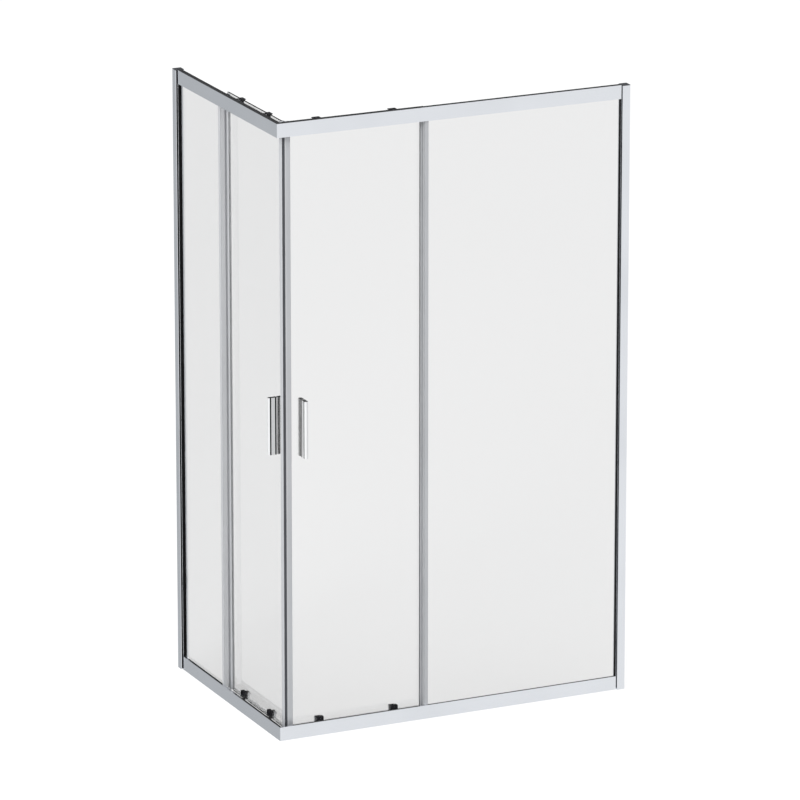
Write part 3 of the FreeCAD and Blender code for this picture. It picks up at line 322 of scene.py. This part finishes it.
mouldedParts = {slot: mouldedPlastic(slot.title().replace("_", ""), spec) for slot, spec in plastics.items()}
throughPane = {"long": "Y", "short": "X"}
rollerBlocks = {side: rollerBlock(f"rollerBlock_{side}", plastics["black_plastic"], plate, across,
                                  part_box(f"{side}_door_glass")[1]["XYZ".index(across)])
                for side, across in throughPane.items()}
print("plastics made")


# clear toughened glass: pale grey body, green on its ground edges
glass = {"body": (0.812, 0.811, 0.811, 1), "edge": (0.36, 0.46, 0.44, 1), "patch": (0.803, 0.803, 0.802, 1),
         "cloud": {"Scale": 2.2, "Detail": 1.0}, "edgeSlope": (0.4, 0.6), "bend": 1.5}


def toughenedGlass(name, spec, across):
    made, tree, surface = newMaterial(name)
    coords = addNode(tree, "ShaderNodeTexCoord")
    cloud = addNode(tree, "ShaderNodeTexNoise")
    setInputs(cloud, **spec["cloud"])
    tree.links.new(coords.outputs["Object"], cloud.inputs["Vector"])
    body = mixColours(tree, cloud.outputs["Fac"], spec["body"], spec["patch"])
    facing = calculate(tree, "ABSOLUTE", splitVector(tree, "Normal")[across])
    edge = mapRange(tree, facing, spec["edgeSlope"], (1.0, 0.0))
    tree.links.new(mixColours(tree, edge, body, spec["edge"]), surface.inputs["Base Color"])
    setInputs(surface, Roughness=0.0, IOR=spec["bend"])
    surface.inputs["Transmission Weight"].default_value = 1.0
    return made


clearGlass = {side: toughenedGlass(f"clearGlass{side.title()}", glass, across)
              for side, across in throughPane.items()}

# clear soft seals: slightly cloudy glazing strips, and a clearer wiper under each door
seal = {"dark": (0.88, 0.90, 0.90, 1), "light": (0.94, 0.95, 0.95, 1), "rough": (0.06, 0.14), "bump": 0.03,
        "grain": 900.0, "shine": 0.4, "through": 0.92}
wiper = {"dark": (0.97, 0.98, 0.98, 1), "light": (0.99, 0.99, 0.99, 1), "rough": (0.02, 0.06), "bump": 0.01,
         "grain": 900.0, "shine": 0.2, "through": 1.0}


def softSeal(name, spec):
    made = mouldedPlastic(name, spec)
    made.node_tree.nodes["Principled BSDF"].inputs["Transmission Weight"].default_value = spec["through"]
    return made


clearSeal = softSeal("clearSeal", seal)
clearWiper = softSeal("clearWiper", wiper)
print("glass and seals made")


# every node takes its finish
def finishNode(name, material):
    piece = nodes[name]
    piece.data.materials.clear()
    piece.data.materials.append(material)


slots = {part["node"]: part["material_slot"] for part in frame["record"]["subparts"]}
upright = ("wall_profile", "stile")
for name, slot in slots.items():
    side = "short" if name.startswith("short") else "long"
    if slot == "polished_profile":
        along = "z" if name.endswith(upright) else ("x" if side == "long" else "y")
        finishNode(name, polishedMetal[along])
    elif slot == "satin_profile":
        # each side takes its painted lit or shaded copy of the satin
        finishNode(name, satinLitShadedCopies[side])
    elif slot == "clear_glass":
        finishNode(name, clearGlass[side])
    elif slot == "chrome_handle":
        finishNode(name, chromeHandlePaintedSheen)
    elif slot == "steel":
        finishNode(name, turnedSteel)
    elif slot == "clear_seal":
        finishNode(name, clearWiper if name.endswith("door_seals") else clearSeal)
    elif name.endswith("handle_inlays"):
        # painted shade: the handle inlays take the blackest rubber, black bands standing in for the shade in the
        # handle's grooves
        finishNode(name, mouldedParts["black_gasket"])
    elif name.endswith("roller_housings"):
        finishNode(name, rollerBlocks[side])
    else:
        finishNode(name, mouldedParts[slot])
print("finishes set on", len(slots), "nodes")


# a release spring: a round wire carried along a helix that climbs evenly from the plunger's shoulder to the roof;
# each ring of the wire lies across the helix, on its outward and its upright direction
coil = {"wire": 0.00045, "pitch": 0.0024, "perTurn": 40, "ring": 12}


def windCoil(name, spec, low, high):
    centre = (low + high) / 2
    radius = (high[0] - low[0]) / 2 - spec["wire"]
    rise = high[2] - low[2] - 2 * spec["wire"]
    turns = rise / spec["pitch"]
    count = int(turns * spec["perTurn"]) + 1
    angle = np.linspace(0.0, 2 * math.pi * turns, count)
    outward = np.stack([np.cos(angle), np.sin(angle), np.zeros(count)], axis=1)
    slope = spec["pitch"] / (2 * math.pi * radius)
    heading = np.stack([-np.sin(angle), np.cos(angle), np.full(count, slope)], axis=1)
    upward = np.cross(outward, heading / math.hypot(1.0, slope))
    line = radius * outward + np.array((centre[0], centre[1], low[2] + spec["wire"]))
    line[:, 2] += np.linspace(0.0, rise, count)
    ring = np.linspace(0.0, 2 * math.pi, spec["ring"], endpoint=False)[:, None]
    across = outward[:, None] * np.cos(ring) + upward[:, None] * np.sin(ring)
    points = (line[:, None] + spec["wire"] * across).reshape(-1, 3)
    sides = spec["ring"]
    row, place = np.meshgrid(np.arange(count - 1) * sides, np.arange(sides), indexing="ij")
    following = (place + 1) % sides
    quads = np.stack([row + place, row + sides + place, row + sides + following, row + following], axis=2)
    ends = [list(range(sides)), list(range(len(points) - 1, len(points) - sides - 1, -1))]
    mesh = bpy.data.meshes.new(name)
    mesh.from_pydata(points.tolist(), [], quads.reshape(-1, 4).tolist() + ends)
    mesh.polygons.foreach_set("use_smooth", [True] * (len(mesh.polygons) - 2) + [False] * 2)
    mesh.materials.append(turnedSteel)
    made = bpy.data.objects.new(name, mesh)
    bpy.context.scene.collection.objects.link(made)
    return made


# each coil stands for its CAD spring, which it hides, and rides on its joint's parent body
for joint in frame["joints"]:
    for spring in joint.get("deforming_nodes", []):
        low, high = (np.array(corner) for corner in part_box(spring["node"]))
        piece = windCoil(f"{joint['name']}_coil", coil, low, high)
        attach(piece, joint["parent"])
        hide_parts(spring["node"])
        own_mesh(piece)
print("release springs wound")


# what a ray is: seen by the eye, also through clean glass, or mirrored in metal first
def sortRays(tree):
    path = addNode(tree, "ShaderNodeLightPath")
    mirrored = calculate(tree, "MINIMUM", path.outputs["Glossy Depth"], 1.0)
    direct = calculate(tree, "SUBTRACT", 1.0, mirrored)
    through = calculate(tree, "MULTIPLY", path.outputs["Is Transmission Ray"], direct)
    return calculate(tree, "MAXIMUM", path.outputs["Is Camera Ray"], through), mirrored


# floor: a pale plane that keeps the shadow and reads as white to the eye; mirrors see the studio instead
floor = {"reach": 40.0, "sink": 0.0005, "colour": (0.26, 0.26, 0.26, 1), "rough": 0.9, "lift": 0.77}


def layFloor(spec):
    reach = spec["reach"]
    mesh = bpy.data.meshes.new("floor")
    corners = [(-reach, -reach, 0), (reach, -reach, 0), (reach, reach, 0), (-reach, reach, 0)]
    mesh.from_pydata(corners, [], [(0, 1, 2, 3)])
    plane = bpy.data.objects.new("floor", mesh)
    plane.location.z = -spec["sink"]
    plane.visible_glossy = False
    bpy.context.scene.collection.objects.link(plane)
    made, tree, surface = newMaterial("paleFloor")
    setInputs(surface, Roughness=spec["rough"])
    surface.inputs["Base Color"].default_value = spec["colour"]
    path = addNode(tree, "ShaderNodeLightPath")
    seen = calculate(tree, "MAXIMUM", path.outputs["Is Camera Ray"], path.outputs["Is Transmission Ray"])
    surface.inputs["Emission Color"].default_value = (1, 1, 1, 1)
    tree.links.new(calculate(tree, "MULTIPLY", seen, spec["lift"]), surface.inputs["Emission Strength"])
    plane.data.materials.append(made)


layFloor(floor)


# studio: white to the eye; metal sees grey cards all round, by their bearing from -Y, and a dark wall high behind
studio = {"fill": (0.96, 0.97, 0.98, 1), "strength": 1.0, "high": 0.85, "behindHigh": 0.05,
          "behind": (-0.1, 0.3), "raised": (0.03, 0.15), "plain": (1.0, 1.0, 1.0),
          "bluish": (0.96, 0.98, 1.0), "bluishBelow": -90,
          "cards": ((-167, 0.14), (-160, 0.52), (-150, 0.56), (-125, 0.60), (-95, 0.66), (-65, 0.80), (-35, 0.92),
                    (0, 0.95), (28, 0.92), (38, 0.82), (46, 0.45), (60, 0.45), (68, 0.82), (100, 0.95), (140, 0.95),
                    (158, 0.85), (166, 0.14)), "back": 0.10}


def grey(level, tint):
    return tuple(level * part for part in tint) + (1.0,)


def lightStudio(spec):
    world = bpy.data.worlds.new("studio")
    bpy.context.scene.world = world
    world.use_nodes = True
    tree = world.node_tree
    fill = tree.nodes["Background"]
    fill.inputs["Color"].default_value = spec["fill"]
    fill.inputs["Strength"].default_value = spec["strength"]
    look = splitVector(tree, "Generated")
    ahead = calculate(tree, "MULTIPLY", look["Y"], -1.0)
    bearing = calculate(tree, "ARCTAN2", look["X"], ahead)
    cards = addNode(tree, "ShaderNodeValToRGB")
    tree.links.new(mapRange(tree, bearing, (-math.pi, math.pi)), cards.inputs["Fac"])
    stops = cards.color_ramp.elements
    plain = spec["plain"]
    for stop in stops:
        stop.color = grey(spec["back"], plain)
    for degrees, level in spec["cards"]:
        tint = spec["bluish"] if degrees < spec["bluishBelow"] else plain
        stops.new((degrees + 180) / 360).color = grey(level, tint)
    behind = mapRange(tree, look["Y"], spec["behind"])
    wall = mixColours(tree, behind, grey(spec["high"], plain), grey(spec["behindHigh"], plain))
    raised = mapRange(tree, look["Z"], spec["raised"])
    mirror = addNode(tree, "ShaderNodeBackground")
    tree.links.new(mixColours(tree, raised, cards.outputs["Color"], wall), mirror.inputs["Color"])
    white = addNode(tree, "ShaderNodeBackground")
    white.inputs["Color"].default_value = (1, 1, 1, 1)
    seen, mirrored = sortRays(tree)
    first = addNode(tree, "ShaderNodeMixShader")
    tree.links.new(mirrored, first.inputs[0])
    tree.links.new(fill.outputs[0], first.inputs[1])
    tree.links.new(mirror.outputs[0], first.inputs[2])
    second = addNode(tree, "ShaderNodeMixShader")
    tree.links.new(seen, second.inputs[0])
    tree.links.new(first.outputs[0], second.inputs[1])
    tree.links.new(white.outputs[0], second.inputs[2])
    tree.links.new(second.outputs[0], tree.nodes["World Output"].inputs["Surface"])


lightStudio(studio)

# one soft lamp, high on the short side
lamp = {"place": (-5.6, -3.8, 4.2), "aim": (0.0, 0.0, 0.9), "size": 3.0, "power": 220.0}


def hangLamp(spec):
    data = bpy.data.lights.new("softBox", "AREA")
    data.energy = spec["power"]
    data.size = spec["size"]
    box = bpy.data.objects.new("softBox", data)
    box.location = spec["place"]
    aim = np.array(spec["aim"]) - np.array(spec["place"])
    tilt = math.acos(-aim[2] / np.linalg.norm(aim))
    box.rotation_euler = (tilt, 0.0, math.atan2(aim[1], aim[0]) - math.pi / 2)
    bpy.context.scene.collection.objects.link(box)


hangLamp(lamp)
bpy.context.scene.view_settings.view_transform = "Standard"
print("studio lit")
